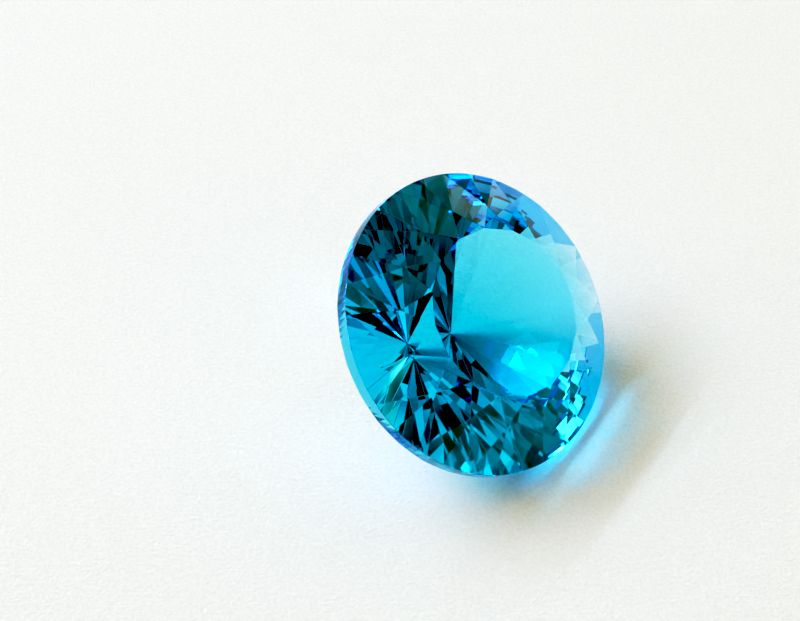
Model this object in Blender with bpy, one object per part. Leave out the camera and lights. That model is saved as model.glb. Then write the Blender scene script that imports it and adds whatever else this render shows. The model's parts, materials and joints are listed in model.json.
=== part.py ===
"""Blue topaz, cut as a round stone of sixteen-fold symmetry, lying on one facet of its pavilion.

Metres, +Z up. The stone is ground while it stands on its own axis, as it is on a faceting machine:
a round blank first, then the table, then each row of facets. It is then laid over on a main facet
of the pavilion. The origin is on the surface it lies on, under the middle of its box.
"""

import math

import bmesh
import bpy
from mathutils import Matrix, Vector

# Driving dimensions: lengths in metres, angles in degrees.
GIRDLE_DIAMETER = 0.020
GIRDLE_HEIGHT = 0.0011
GIRDLE_SIDES = 128
TABLE_DIAMETER = 0.0110
CULET_DIAMETER = 0.00012
CROWN_FOLDS = 16
CROWN_SLOPE = 32.2
CROWN_TURN = -6.3
STAR_LENGTH = 0.397
UPPER_SPREAD = 0.311
PAVILION_FOLDS = 16
PAVILION_SLOPE = 39.46
LOWER_LENGTH = 0.602
LOWER_SPREAD = 0.288
# Compass angle on the surface, from +X towards +Y, that the table leans to.
LEAN_HEADING = -37.52

BLANK_HEIGHT = 0.030
# Corners nearer a grinding plane than this are taken to lie on it.
SNAP = 3e-8
TOPAZ_BLUE = (0.02, 0.45, 0.80, 1.0)

GIRDLE_RADIUS = GIRDLE_DIAMETER / 2
CROWN, PAVILION = 1, -1


def clear_scene():
    for thing in list(bpy.data.objects):
        bpy.data.objects.remove(thing, do_unlink=True)


def outward(azimuth):
    """Level unit vector from the stone's axis towards an azimuth."""
    return Vector((math.cos(azimuth), math.sin(azimuth), 0.0))


def sloped_normal(azimuth, slope, side):
    """Outward normal of a facet that slopes this much from the plane of the girdle."""
    return outward(azimuth) * math.sin(slope) + Vector((0, 0, side * math.cos(slope)))


def girdle_point(azimuth, side):
    """Point on the girdle's upper edge on the crown's side, or its lower edge on the pavilion's."""
    return outward(azimuth) * GIRDLE_RADIUS + Vector((0, 0, side * GIRDLE_HEIGHT / 2))


def round_blank():
    stone = bmesh.new()
    bmesh.ops.create_cone(
        stone,
        cap_ends=True,
        segments=GIRDLE_SIDES,
        radius1=GIRDLE_RADIUS,
        radius2=GIRDLE_RADIUS,
        depth=BLANK_HEIGHT,
    )
    return stone


def grind(stone, point, normal):
    """Take away all that lies beyond the plane through point, and close the stone with a flat facet."""
    cut = bmesh.ops.bisect_plane(
        stone,
        geom=stone.verts[:] + stone.edges[:] + stone.faces[:],
        dist=SNAP,
        plane_co=point,
        plane_no=normal,
        clear_outer=True,
    )
    rim = [part for part in cut["geom_cut"] if isinstance(part, bmesh.types.BMEdge)]
    bmesh.ops.edgeloop_fill(stone, edges=rim)


def star_tip(azimuth, step, slope, radius, side):
    """Point at this radius, midway between two mains, on the line where both mains meet."""
    main = sloped_normal(azimuth - step / 2, slope, side)
    reach = main.dot(girdle_point(azimuth - step / 2, side))
    flat = outward(azimuth) * radius
    return Vector((flat.x, flat.y, (reach - main.dot(flat)) / main.z))


def grind_break(stone, azimuth, corner, tip, side):
    """Half facet along the girdle: it holds the line from a main's girdle corner to a tip."""
    line = tip - corner
    normal = outward(azimuth) * line.z - Vector((0, 0, outward(azimuth).dot(line)))
    if normal.z * side < 0:
        normal.negate()
    grind(stone, tip, normal.normalized())


def grind_star(stone, azimuth, step, tip, table):
    """Triangle between two corners of the table and a tip midway between the mains."""
    first = outward(azimuth - step / 2) * TABLE_DIAMETER / 2 + table
    second = outward(azimuth + step / 2) * TABLE_DIAMETER / 2 + table
    normal = (second - first).cross(tip - first)
    if normal.z < 0:
        normal.negate()
    grind(stone, tip, normal.normalized())


def grind_crown(stone):
    step = math.tau / CROWN_FOLDS
    slope = math.radians(CROWN_SLOPE)
    rise = (GIRDLE_RADIUS - TABLE_DIAMETER / 2) * math.tan(slope)
    table = Vector((0, 0, GIRDLE_HEIGHT / 2 + rise))
    table_edge = TABLE_DIAMETER / 2 * math.cos(step / 2)
    tip_radius = table_edge + STAR_LENGTH * (GIRDLE_RADIUS - table_edge)
    grind(stone, table, Vector((0, 0, 1)))
    for k in range(CROWN_FOLDS):
        azimuth = math.radians(CROWN_TURN) + k * step
        grind(stone, girdle_point(azimuth, CROWN), sloped_normal(azimuth, slope, CROWN))
    for k in range(CROWN_FOLDS):
        azimuth = math.radians(CROWN_TURN) + (k + 0.5) * step
        tip = star_tip(azimuth, step, slope, tip_radius, CROWN)
        grind_star(stone, azimuth, step, tip, table)
        for turn in (-1, 1):
            corner = girdle_point(azimuth + turn * step / 2, CROWN)
            facing = azimuth + turn * (0.5 - UPPER_SPREAD) * step
            grind_break(stone, facing, corner, tip, CROWN)


def grind_pavilion(stone):
    step = math.tau / PAVILION_FOLDS
    slope = math.radians(PAVILION_SLOPE)
    tip_radius = (1 - LOWER_LENGTH) * GIRDLE_RADIUS
    for k in range(PAVILION_FOLDS):
        azimuth = k * step
        grind(stone, girdle_point(azimuth, PAVILION), sloped_normal(azimuth, slope, PAVILION))
    for k in range(PAVILION_FOLDS):
        azimuth = (k + 0.5) * step
        tip = star_tip(azimuth, step, slope, tip_radius, PAVILION)
        for turn in (-1, 1):
            corner = girdle_point(azimuth + turn * step / 2, PAVILION)
            facing = azimuth + turn * (0.5 - LOWER_SPREAD) * step
            grind_break(stone, facing, corner, tip, PAVILION)
    depth = GIRDLE_HEIGHT / 2 + (GIRDLE_RADIUS - CULET_DIAMETER / 2) * math.tan(slope)
    grind(stone, Vector((0, 0, -depth)), Vector((0, 0, -1)))


def lay_down(stone):
    """Turn the pavilion's first main facet flat onto the surface, then centre the box over the origin."""
    tip_over = Matrix.Rotation(math.radians(PAVILION_SLOPE), 3, "Y")
    heading = Matrix.Rotation(math.radians(LEAN_HEADING), 3, "Z")
    bmesh.ops.rotate(stone, verts=stone.verts, cent=(0, 0, 0), matrix=heading @ tip_over)
    lows = [min(v.co[axis] for v in stone.verts) for axis in range(3)]
    highs = [max(v.co[axis] for v in stone.verts) for axis in range(3)]
    shift = Vector((-(lows[0] + highs[0]) / 2, -(lows[1] + highs[1]) / 2, -lows[2]))
    bmesh.ops.translate(stone, verts=stone.verts, vec=shift)


def topaz_material():
    material = bpy.data.materials.new("topaz_blue")
    material.use_nodes = True
    surface = material.node_tree.nodes["Principled BSDF"]
    surface.inputs["Base Color"].default_value = TOPAZ_BLUE
    surface.inputs["Metallic"].default_value = 0.0
    surface.inputs["Roughness"].default_value = 0.02
    surface.inputs["IOR"].default_value = 1.62
    surface.inputs["Transmission Weight"].default_value = 1.0
    return material


def add_topaz():
    stone = round_blank()
    grind_crown(stone)
    grind_pavilion(stone)
    lay_down(stone)
    bmesh.ops.recalc_face_normals(stone, faces=stone.faces)
    mesh = bpy.data.meshes.new("topaz")
    stone.to_mesh(mesh)
    stone.free()
    mesh.materials.append(topaz_material())
    topaz = bpy.data.objects.new("topaz", mesh)
    bpy.context.scene.collection.objects.link(topaz)


clear_scene()
add_topaz()
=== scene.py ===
"""Blue topaz: the polish and body colour of the stone, the paper it lies on, its light and camera."""

import json
import math

import bmesh
import bpy
import numpy as np
from bpy.props import FloatProperty, FloatVectorProperty, PointerProperty
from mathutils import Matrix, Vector


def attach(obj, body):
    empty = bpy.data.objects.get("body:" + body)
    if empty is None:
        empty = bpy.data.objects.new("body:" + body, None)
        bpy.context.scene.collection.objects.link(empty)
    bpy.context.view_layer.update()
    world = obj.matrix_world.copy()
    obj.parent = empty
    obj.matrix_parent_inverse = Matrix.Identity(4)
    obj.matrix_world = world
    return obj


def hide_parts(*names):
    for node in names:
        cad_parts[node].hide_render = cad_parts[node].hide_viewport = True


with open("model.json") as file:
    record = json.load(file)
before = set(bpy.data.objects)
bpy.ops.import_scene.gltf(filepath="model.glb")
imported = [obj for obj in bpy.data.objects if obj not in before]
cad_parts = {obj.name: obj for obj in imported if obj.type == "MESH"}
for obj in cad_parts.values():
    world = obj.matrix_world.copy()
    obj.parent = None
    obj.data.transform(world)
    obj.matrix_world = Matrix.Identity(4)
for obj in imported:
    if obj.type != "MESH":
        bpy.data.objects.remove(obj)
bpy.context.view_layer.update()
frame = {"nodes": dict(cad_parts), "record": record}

bl_info = {
    "name": "Blue Topaz",
    "version": (1, 0, 0),
    "blender": (4, 5, 0),
    "location": "View3D > Sidebar > Topaz",
    "description": "A round blue topaz with worn facet edges, on paper in soft light",
    "category": "Add Mesh",
}

NODE = "topaz"
TABLE = frame["record"]["mounts"][1]
PAPER_GAP = 0.00002
GROUND = "ground"
# Corners closer than WELD are one, and corners nearer a plane than SNAP lie on it.
WELD = 1e-7
SNAP = 2e-8
FLAT_ANGLE = math.radians(0.1)
SMOOTH_ANGLE = math.radians(4.0)
# The girdle's faces stand this square to the stone's axis, as a cosine.
GIRDLE_TOLERANCE = 0.05

# Sockets of a Mix node: its two inputs and its output, for numbers and for colours.
MIX_NUMBERS = (2, 3, 0)
MIX_COLOURS = (6, 7, 2)

# Noise between the two ends of a span goes from nothing to full.
SMUDGE_SCALE = 400.0
SMUDGE_SPAN = (0.5, 0.8)
GRAIN_SCALE = 9000.0
GRAIN_SPAN = (0.3, 0.7)
GRAIN_DEPTH = 0.000004
GRAIN_STRENGTH = 0.4
# The finest grain of a ground face has this share of its roughness.
FINEST_GRAIN = 0.6

PAPER_ROUGHNESS = 0.9
PAPER_SHINE = 0.2
PAPER_GRAIN_SCALE = 4500.0
PAPER_GRAIN_SPAN = (0.35, 0.65)
PAPER_GRAIN_DEPTH = 0.00008
PAPER_GRAIN_STRENGTH = 0.5
# The darkest grain of the paper keeps this share of its colour.
PAPER_SHADE = 0.92
FIBRE_STRETCH = (0.25, 1.0, 1.0)
FIBRE_TURN = math.radians(35.0)

SKY_DIRECTION = "Sky direction"
SKY_BASE = (0.92, 0.77, 0.57)
# Pale patches: compass angle, height, full inside, nothing beyond (degrees), then the light added.
PALE_PATCHES = (
    (160, 42, 10, 34, (1.12, 0.94, 0.70)),
    (186, 30, 8, 24, (2.00, 1.68, 1.25)),
    (140, 54, 6, 18, (1.38, 1.15, 0.86)),
    (-40, 12, 5, 15, (0.90, 0.85, 0.70)),
    (45, 4, 12, 26, (0.10, 0.12, 0.13)),
)
# Dark patches: compass angle, height, full inside, nothing beyond (degrees), then the share kept.
DARK_PATCHES = (
    (0, 33, 16, 34, 0.05),
    (-85, 30, 22, 48, 0.24),
    (-60, 82, 8, 24, 0.70),
)
# The room's unevenness, and the share of its light in the darkest and the palest parts.
MOTTLE_SCALE = 8.0
MOTTLE_SPAN = (0.45, 0.64)
MOTTLE_SHARES = (0.06, 2.2)
BACKDROP = (0.90, 0.90, 0.91, 1.0)

CLIP_START = 0.001
TRANSMISSION_BOUNCES = 40
GLOSSY_BOUNCES = 16
DIFFUSE_BOUNCES = 6
BLACK_LEVEL = (0.09, 0.045, 0.065)
# Points of the picture's tone curve between black and white, and which curve bends all colours.
TONES = ((0.2, 0.185), (0.55, 0.65), (0.9, 0.925))
ALL_COLOURS = 3


class StoneSettings(bpy.types.PropertyGroup):
    """Sizes and colours of the stone's finish."""

    edge_wear: FloatProperty(
        name="Edge wear",
        description="Width of the worn strip along each edge between two facets",
        default=0.00003, min=0.0, unit="LENGTH", precision=6,
    )
    refraction: FloatProperty(
        name="Refractive index",
        description="How strongly the crystal bends light",
        default=1.62, min=1.0, max=3.0,
    )
    body_colour: FloatVectorProperty(
        name="Body colour",
        description="Red, green and blue that the crystal spares: 1 is not absorbed at all",
        default=(0.40, 0.888, 0.984), min=0.0, max=1.0, subtype="COLOR",
    )
    depth_of_colour: FloatProperty(
        name="Depth of colour",
        description="Absorption per metre of the light that the body colour lacks",
        default=300.0, min=0.0,
    )
    polish: FloatProperty(
        name="Facet roughness",
        description="Roughness of a polished facet",
        default=0.003, min=0.0, max=1.0, subtype="FACTOR",
    )
    edge_share: FloatProperty(
        name="Edge finish",
        description="Share of the girdle's ground finish that the worn strips have",
        default=0.3, min=0.0, max=1.0, subtype="FACTOR",
    )
    girdle_roughness: FloatProperty(
        name="Girdle roughness",
        description="Roughness of the ground band round the stone",
        default=0.06, min=0.0, max=1.0, subtype="FACTOR",
    )


class StageSettings(bpy.types.PropertyGroup):
    """Paper, lights and camera."""

    floor_radius: FloatProperty(
        name="Paper radius", description="Half the width of the sheet",
        default=1.2, min=0.1, unit="LENGTH",
    )
    paper_colour: FloatVectorProperty(
        name="Paper colour", description="Colour of the sheet",
        default=(0.88, 0.893, 0.912), min=0.0, max=1.0, subtype="COLOR",
    )
    key_azimuth: FloatProperty(
        name="Key azimuth", description="Compass angle of the main light, from +X towards +Y",
        default=math.radians(155.0), subtype="ANGLE",
    )
    key_elevation: FloatProperty(
        name="Key elevation", description="Height of the main light above the horizon",
        default=math.radians(39.0), subtype="ANGLE",
    )
    key_width: FloatProperty(
        name="Key width", description="Width of the main light",
        default=0.80, min=0.01, unit="LENGTH",
    )
    key_height: FloatProperty(
        name="Key height", description="Height of the main light",
        default=0.30, min=0.01, unit="LENGTH",
    )
    key_power: FloatProperty(
        name="Key power", description="Strength of the main light in watts",
        default=4.4, min=0.0,
    )
    strip_azimuth: FloatProperty(
        name="Strip azimuth", description="Compass angle of the long thin light",
        default=math.radians(147.0), subtype="ANGLE",
    )
    strip_elevation: FloatProperty(
        name="Strip elevation", description="Height of the long thin light above the horizon",
        default=math.radians(42.0), subtype="ANGLE",
    )
    strip_width: FloatProperty(
        name="Strip width", description="Width of the long thin light",
        default=1.10, min=0.01, unit="LENGTH",
    )
    strip_height: FloatProperty(
        name="Strip height", description="Height of the long thin light",
        default=0.03, min=0.01, unit="LENGTH",
    )
    strip_power: FloatProperty(
        name="Strip power", description="Strength of the long thin light in watts",
        default=4.3, min=0.0,
    )
    lamp_colour: FloatVectorProperty(
        name="Light colour", description="Colour of both lights",
        default=(0.57, 0.80, 1.0), min=0.0, max=1.0, subtype="COLOR",
    )
    lamp_distance: FloatProperty(
        name="Light distance", description="Distance of both lights from the stone",
        default=1.0, min=0.1, unit="LENGTH",
    )
    camera_elevation: FloatProperty(
        name="Camera elevation", description="How far the camera looks down",
        default=math.radians(48.70), subtype="ANGLE",
    )
    camera_place: FloatVectorProperty(
        name="Camera place", description="Where the camera stands",
        default=(-0.00499, -0.06379, 0.08062), unit="LENGTH",
    )
    lens: FloatProperty(
        name="Lens", description="Focal length on a 36 mm sensor", default=67.5, min=1.0,
    )


def direction(azimuth, elevation):
    """Unit vector towards a compass angle and a height above the horizon, both in radians."""
    level = math.cos(elevation)
    return Vector((level * math.cos(azimuth), level * math.sin(azimuth), math.sin(elevation)))


def add_node(tree, kind, label, **sockets):
    """One shader node, with plain values for the sockets named."""
    made = tree.nodes.new(kind)
    made.label = label
    for name, value in sockets.items():
        made.inputs[name].default_value = value
    return made


def add_range(tree, label, taken, given=(0.0, 1.0)):
    """Map Range node that turns the span taken into the span given."""
    made = add_node(tree, "ShaderNodeMapRange", label)
    ends = ("From Min", "From Max", "To Min", "To Max")
    for end, value in zip(ends, (*taken, *given)):
        made.inputs[end].default_value = value
    return made


def add_group(name, inputs, outputs):
    """Empty shader node group with float inputs and outputs, and its two end nodes."""
    group = bpy.data.node_groups.new(name, "ShaderNodeTree")
    for socket in inputs:
        group.interface.new_socket(socket, in_out="INPUT", socket_type="NodeSocketFloat")
    for socket, kind in outputs:
        group.interface.new_socket(socket, in_out="OUTPUT", socket_type=kind)
    return group, group.nodes.new("NodeGroupInput"), group.nodes.new("NodeGroupOutput")


def lapidary_group():
    """Finish of a cut stone: polished facets with faint smudges, and ground parts with fine grain."""
    group, taken, given = add_group(
        "Lapidary finish",
        ("Ground", "Polished roughness", "Ground roughness", "Grain scale"),
        (("Roughness", "NodeSocketFloat"), ("Height", "NodeSocketFloat")),
    )
    links = group.links
    place = group.nodes.new("ShaderNodeTexCoord")
    grain = add_node(group, "ShaderNodeTexNoise", "Grinding grain", Detail=3.0, Roughness=0.6)
    links.new(place.outputs["Object"], grain.inputs["Vector"])
    links.new(taken.outputs["Grain scale"], grain.inputs["Scale"])
    smudge = add_node(group, "ShaderNodeTexNoise", "Smudges", Scale=SMUDGE_SCALE, Detail=2.0)
    links.new(place.outputs["Object"], smudge.inputs["Vector"])
    polished = add_range(group, "Smudged polish", SMUDGE_SPAN)
    links.new(smudge.outputs["Fac"], polished.inputs["Value"])
    links.new(taken.outputs["Polished roughness"], polished.inputs["To Max"])
    uneven = add_range(group, "Uneven grinding", GRAIN_SPAN)
    links.new(grain.outputs["Fac"], uneven.inputs["Value"])
    finest = add_node(group, "ShaderNodeMath", "Finest grain")
    finest.operation = "MULTIPLY"
    finest.inputs[1].default_value = FINEST_GRAIN
    links.new(taken.outputs["Ground roughness"], finest.inputs[0])
    links.new(finest.outputs["Value"], uneven.inputs["To Min"])
    links.new(taken.outputs["Ground roughness"], uneven.inputs["To Max"])
    finish = add_node(group, "ShaderNodeMix", "Polished or ground")
    first, second, mixed = MIX_NUMBERS
    links.new(taken.outputs["Ground"], finish.inputs["Factor"])
    links.new(polished.outputs["Result"], finish.inputs[first])
    links.new(uneven.outputs["Result"], finish.inputs[second])
    links.new(finish.outputs[mixed], given.inputs["Roughness"])
    height = add_node(group, "ShaderNodeMath", "Grain height")
    height.operation = "MULTIPLY"
    links.new(grain.outputs["Fac"], height.inputs[0])
    links.new(taken.outputs["Ground"], height.inputs[1])
    links.new(height.outputs["Value"], given.inputs["Height"])
    return group


def stone_material(settings):
    material = bpy.data.materials.new("topaz_polished")
    material.use_nodes = True
    tree = material.node_tree
    surface = tree.nodes["Principled BSDF"]
    surface.inputs["Base Color"].default_value = (1.0, 1.0, 1.0, 1.0)
    surface.inputs["Metallic"].default_value = 0.0
    surface.inputs["IOR"].default_value = settings.refraction
    surface.inputs["Transmission Weight"].default_value = 1.0
    ground = add_node(tree, "ShaderNodeAttribute", "Ground or worn")
    ground.attribute_name = GROUND
    finish = add_node(tree, "ShaderNodeGroup", "Lapidary finish")
    finish.node_tree = lapidary_group()
    finish.inputs["Polished roughness"].default_value = settings.polish
    finish.inputs["Ground roughness"].default_value = settings.girdle_roughness
    finish.inputs["Grain scale"].default_value = GRAIN_SCALE
    tree.links.new(ground.outputs["Fac"], finish.inputs["Ground"])
    tree.links.new(finish.outputs["Roughness"], surface.inputs["Roughness"])
    bump = add_node(tree, "ShaderNodeBump", "Grain", Strength=GRAIN_STRENGTH, Distance=GRAIN_DEPTH)
    tree.links.new(finish.outputs["Height"], bump.inputs["Height"])
    tree.links.new(bump.outputs["Normal"], surface.inputs["Normal"])
    body = add_node(tree, "ShaderNodeVolumeAbsorption", "Body colour")
    body.inputs["Color"].default_value = (*settings.body_colour, 1.0)
    body.inputs["Density"].default_value = settings.depth_of_colour
    tree.links.new(body.outputs["Volume"], tree.nodes["Material Output"].inputs["Volume"])
    return material


def whole_facets(node):
    """The stone's CAD solid as one closed mesh in which each flat facet is one face."""
    solid = bmesh.new()
    solid.from_mesh(node.data)
    solid.transform(node.matrix_world)
    bmesh.ops.remove_doubles(solid, verts=solid.verts, dist=WELD)
    bmesh.ops.dissolve_limit(
        solid, angle_limit=FLAT_ANGLE, verts=solid.verts, edges=solid.edges
    )
    solid.normal_update()
    return solid


def worn_planes(solid, width):
    """Planes that wear a strip of this width off every edge between two facets.

    Each plane faces midway between its two facets. Where their normals part by an angle t, it lies
    below the edge by half the width times the tangent of half of t.
    """
    edges = [edge for edge in solid.edges if edge.calc_face_angle(0.0) > SMOOTH_ANGLE]
    first = np.array([edge.link_faces[0].normal for edge in edges])
    second = np.array([edge.link_faces[1].normal for edge in edges])
    middles = np.array([(edge.verts[0].co + edge.verts[1].co) / 2 for edge in edges])
    parting = np.arccos(np.clip((first * second).sum(axis=1), -1.0, 1.0))
    normals = first + second
    normals /= np.linalg.norm(normals, axis=1)[:, None]
    below = width / 2 * np.tan(parting / 2)
    return middles - normals * below[:, None], normals


def grind(solid, point, normal, ground, share):
    """Take away what lies beyond a plane, and close the solid with one face of this finish."""
    cut = bmesh.ops.bisect_plane(
        solid, geom=solid.verts[:] + solid.edges[:] + solid.faces[:], dist=SNAP,
        plane_co=point, plane_no=normal, clear_outer=True,
    )
    rim = [part for part in cut["geom_cut"] if isinstance(part, bmesh.types.BMEdge)]
    if rim:
        for face in bmesh.ops.edgeloop_fill(solid, edges=rim)["faces"]:
            face[ground] = share


def worn_stone(node, settings):
    """Copy of the stone with a narrow worn strip along its edges and its girdle marked as ground."""
    solid = whole_facets(node)
    ground = solid.faces.layers.float.new(GROUND)
    axis = Vector(TABLE["axis"])
    for face in solid.faces:
        face[ground] = float(abs(face.normal.dot(axis)) < GIRDLE_TOLERANCE)
    points, normals = worn_planes(solid, settings.edge_wear)
    for point, normal in zip(points, normals):
        grind(solid, Vector(point), Vector(normal), ground, settings.edge_share)
    mesh = bpy.data.meshes.new("stone")
    solid.to_mesh(mesh)
    solid.free()
    return mesh


class TOPAZ_OT_stone(bpy.types.Operator):
    """Make the stone with worn edges, a ground girdle and its body colour"""

    bl_idname = "topaz.stone"
    bl_label = "Add stone"

    def execute(self, context):
        settings = context.scene.topaz_stone
        mesh = worn_stone(frame["nodes"][NODE], settings)
        mesh.materials.append(stone_material(settings))
        stone = bpy.data.objects.new("stone", mesh)
        context.scene.collection.objects.link(stone)
        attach(stone, "root")
        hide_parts(NODE)
        return {"FINISHED"}


def paper_group():
    """Uncoated paper: fine grain, and longer fibres that run one way."""
    group, taken, given = add_group(
        "Paper grain", ("Grain scale",), (("Height", "NodeSocketFloat"), ("Shade", "NodeSocketFloat"))
    )
    links = group.links
    place = group.nodes.new("ShaderNodeTexCoord")
    grain = add_node(group, "ShaderNodeTexNoise", "Grain", Detail=2.0, Roughness=0.6)
    links.new(place.outputs["Object"], grain.inputs["Vector"])
    links.new(taken.outputs["Grain scale"], grain.inputs["Scale"])
    along = add_node(group, "ShaderNodeMapping", "Along the fibres", Scale=FIBRE_STRETCH)
    along.inputs["Rotation"].default_value = (0.0, 0.0, FIBRE_TURN)
    links.new(place.outputs["Object"], along.inputs["Vector"])
    fibres = add_node(group, "ShaderNodeTexNoise", "Fibres", Detail=2.0)
    links.new(along.outputs["Vector"], fibres.inputs["Vector"])
    links.new(taken.outputs["Grain scale"], fibres.inputs["Scale"])
    height = add_node(group, "ShaderNodeMath", "Grain and fibres")
    height.operation = "ADD"
    links.new(grain.outputs["Fac"], height.inputs[0])
    links.new(fibres.outputs["Fac"], height.inputs[1])
    links.new(height.outputs["Value"], given.inputs["Height"])
    shade = add_range(group, "Shade of the grain", PAPER_GRAIN_SPAN)
    links.new(grain.outputs["Fac"], shade.inputs["Value"])
    links.new(shade.outputs["Result"], given.inputs["Shade"])
    return group


def paper_material(settings):
    material = bpy.data.materials.new("paper")
    material.use_nodes = True
    tree = material.node_tree
    surface = tree.nodes["Principled BSDF"]
    surface.inputs["Roughness"].default_value = PAPER_ROUGHNESS
    surface.inputs["Specular IOR Level"].default_value = PAPER_SHINE
    grain = add_node(tree, "ShaderNodeGroup", "Paper grain")
    grain.node_tree = paper_group()
    grain.inputs["Grain scale"].default_value = PAPER_GRAIN_SCALE
    colour = add_node(tree, "ShaderNodeMix", "Paper colour")
    colour.data_type = "RGBA"
    dark, pale, mixed = MIX_COLOURS
    palest = settings.paper_colour
    colour.inputs[dark].default_value = (*(PAPER_SHADE * value for value in palest), 1.0)
    colour.inputs[pale].default_value = (*palest, 1.0)
    tree.links.new(grain.outputs["Shade"], colour.inputs["Factor"])
    tree.links.new(colour.outputs[mixed], surface.inputs["Base Color"])
    bump = add_node(tree, "ShaderNodeBump", "Grain", Strength=PAPER_GRAIN_STRENGTH)
    bump.inputs["Distance"].default_value = PAPER_GRAIN_DEPTH
    tree.links.new(grain.outputs["Height"], bump.inputs["Height"])
    tree.links.new(bump.outputs["Normal"], surface.inputs["Normal"])
    return material


def add_floor(context, settings):
    """Flat square sheet just below height zero, so that it and the facet on it don't meet."""
    reach = settings.floor_radius
    mesh = bpy.data.meshes.new("floor")
    low = -PAPER_GAP
    corners = [(-reach, -reach, low), (reach, -reach, low), (reach, reach, low), (-reach, reach, low)]
    mesh.from_pydata(corners, [], [(0, 1, 2, 3)])
    mesh.materials.append(paper_material(settings))
    floor = bpy.data.objects.new("floor", mesh)
    context.scene.collection.objects.link(floor)
    return floor


def add_lamp(context, settings, name):
    """Soft light with an elliptical face turned towards the stone; name begins its settings."""
    lamp = bpy.data.lights.new(name, "AREA")
    lamp.shape = "ELLIPSE"
    lamp.size = getattr(settings, name + "_width")
    lamp.size_y = getattr(settings, name + "_height")
    lamp.energy = getattr(settings, name + "_power")
    lamp.color = settings.lamp_colour
    towards = direction(
        getattr(settings, name + "_azimuth"), getattr(settings, name + "_elevation")
    )
    holder = bpy.data.objects.new(name, lamp)
    holder.location = towards * settings.lamp_distance
    holder.rotation_mode = "QUATERNION"
    holder.rotation_quaternion = towards.to_track_quat("Z", "Y")
    holder.visible_camera = False
    context.scene.collection.objects.link(holder)


def patch_mask(tree, azimuth, height, inner, outer):
    """Mask of a round patch of sky, in degrees: 1 inside the inner angle, 0 beyond the outer one."""
    along = add_node(tree, "ShaderNodeVectorMath", "Along the patch")
    along.operation = "DOT_PRODUCT"
    along.inputs[1].default_value = direction(math.radians(azimuth), math.radians(height))
    tree.links.new(tree.nodes[SKY_DIRECTION].outputs["Generated"], along.inputs[0])
    edge = (math.cos(math.radians(outer)), math.cos(math.radians(inner)))
    fade = add_range(tree, "Soft edge", edge)
    fade.interpolation_type = "SMOOTHSTEP"
    tree.links.new(along.outputs["Value"], fade.inputs["Value"])
    return fade.outputs["Result"]


def scaled(tree, colour, factor):
    """A colour, plain or from a socket, times a factor from a socket."""
    made = add_node(tree, "ShaderNodeVectorMath", "Scaled")
    made.operation = "SCALE"
    if isinstance(colour, bpy.types.NodeSocket):
        tree.links.new(colour, made.inputs[0])
    else:
        made.inputs[0].default_value = colour
    tree.links.new(factor, made.inputs["Scale"])
    return made.outputs["Vector"]


def add_sky(context):
    """Dim room with soft patches of light. The camera itself sees a pale backdrop."""
    world = bpy.data.worlds.new("room")
    context.scene.world = world
    world.use_nodes = True
    tree = world.node_tree
    look = add_node(tree, "ShaderNodeTexCoord", SKY_DIRECTION)
    look.name = SKY_DIRECTION
    light = SKY_BASE
    for azimuth, height, inner, outer, colour in PALE_PATCHES:
        patch = scaled(tree, colour, patch_mask(tree, azimuth, height, inner, outer))
        add = add_node(tree, "ShaderNodeVectorMath", "Add patch")
        add.operation = "ADD"
        if light is SKY_BASE:
            add.inputs[0].default_value = SKY_BASE
        else:
            tree.links.new(light, add.inputs[0])
        tree.links.new(patch, add.inputs[1])
        light = add.outputs["Vector"]
    for azimuth, height, inner, outer, kept in DARK_PATCHES:
        keep = add_range(tree, "Keep", (0.0, 1.0), (1.0, kept))
        tree.links.new(patch_mask(tree, azimuth, height, inner, outer), keep.inputs["Value"])
        light = scaled(tree, light, keep.outputs["Result"])
    mottle = add_node(tree, "ShaderNodeTexNoise", "Uneven room", Scale=MOTTLE_SCALE, Detail=2.0)
    tree.links.new(look.outputs["Generated"], mottle.inputs["Vector"])
    spread = add_range(tree, "Dark and pale parts", MOTTLE_SPAN, MOTTLE_SHARES)
    tree.links.new(mottle.outputs["Fac"], spread.inputs["Value"])
    room = tree.nodes["Background"]
    tree.links.new(scaled(tree, light, spread.outputs["Result"]), room.inputs["Color"])
    backdrop = add_node(tree, "ShaderNodeBackground", "Backdrop", Color=BACKDROP)
    seen = add_node(tree, "ShaderNodeLightPath", "Seen by the camera")
    choice = add_node(tree, "ShaderNodeMixShader", "Backdrop or room")
    tree.links.new(seen.outputs["Is Camera Ray"], choice.inputs["Fac"])
    tree.links.new(room.outputs["Background"], choice.inputs[1])
    tree.links.new(backdrop.outputs["Background"], choice.inputs[2])
    tree.links.new(choice.outputs["Shader"], tree.nodes["World Output"].inputs["Surface"])


def add_camera(context, settings):
    view = bpy.data.cameras.new("camera")
    view.lens = settings.lens
    view.clip_start = CLIP_START
    camera = bpy.data.objects.new("camera", view)
    camera.location = settings.camera_place
    camera.rotation_euler = (math.pi / 2 - settings.camera_elevation, 0.0, 0.0)
    context.scene.collection.objects.link(camera)
    context.scene.camera = camera


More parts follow.
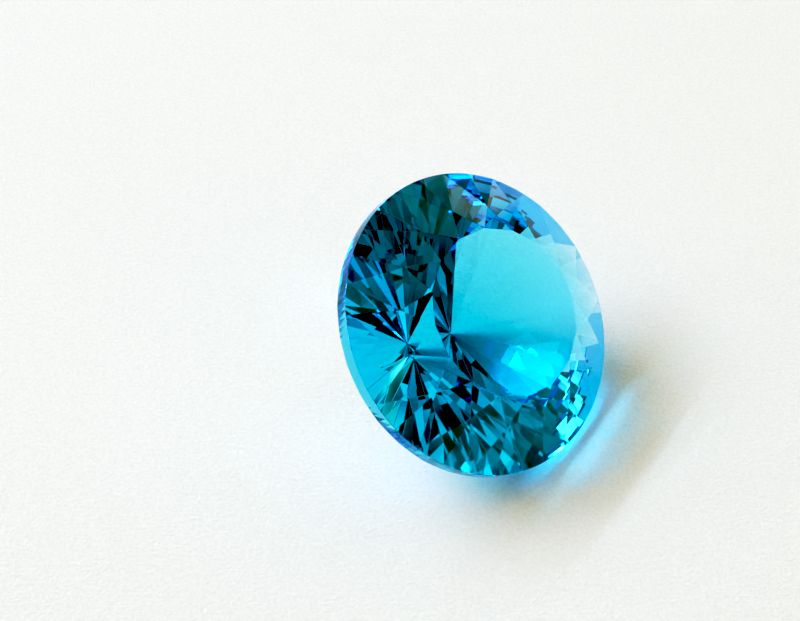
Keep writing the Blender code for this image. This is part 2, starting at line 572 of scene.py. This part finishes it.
def set_look(context):
    """Light paths deep enough for a cut stone, and plain colours."""
    cycles = context.scene.cycles
    cycles.max_bounces = TRANSMISSION_BOUNCES
    cycles.transmission_bounces = TRANSMISSION_BOUNCES
    cycles.glossy_bounces = GLOSSY_BOUNCES
    cycles.diffuse_bounces = DIFFUSE_BOUNCES
    cycles.caustics_reflective = True
    cycles.caustics_refractive = True
    cycles.blur_glossy = 0.0
    cycles.sample_clamp_indirect = 0.0
    cycles.use_adaptive_sampling = False
    cycles.use_denoising = True
    view = context.scene.view_settings
    view.view_transform = "Standard"
    view.use_curve_mapping = True
    view.curve_mapping.black_level = BLACK_LEVEL
    for tone in TONES:
        view.curve_mapping.curves[ALL_COLOURS].points.new(*tone)
    view.curve_mapping.update()


class TOPAZ_OT_stage(bpy.types.Operator):
    """Lay the paper, light it and set up the camera"""

    bl_idname = "topaz.stage"
    bl_label = "Add stage"

    def execute(self, context):
        settings = context.scene.topaz_stage
        add_floor(context, settings)
        add_lamp(context, settings, "key")
        add_lamp(context, settings, "strip")
        add_sky(context)
        add_camera(context, settings)
        set_look(context)
        return {"FINISHED"}


class TOPAZ_PT_panel(bpy.types.Panel):
    bl_label = "Blue Topaz"
    bl_idname = "TOPAZ_PT_panel"
    bl_space_type = "VIEW_3D"
    bl_region_type = "UI"
    bl_category = "Topaz"

    def draw(self, context):
        layout = self.layout
        for operator in OPERATORS:
            layout.operator(operator.bl_idname)


OPERATORS = (TOPAZ_OT_stone, TOPAZ_OT_stage)
CLASSES = (StoneSettings, StageSettings, *OPERATORS, TOPAZ_PT_panel)


def register():
    for cls in CLASSES:
        bpy.utils.register_class(cls)
    bpy.types.Scene.topaz_stone = PointerProperty(type=StoneSettings)
    bpy.types.Scene.topaz_stage = PointerProperty(type=StageSettings)


def unregister():
    del bpy.types.Scene.topaz_stage
    del bpy.types.Scene.topaz_stone
    for cls in reversed(CLASSES):
        bpy.utils.unregister_class(cls)


def main():
    register()
    bpy.ops.topaz.stone()
    bpy.ops.topaz.stage()


if __name__ == "__main__":
    main()
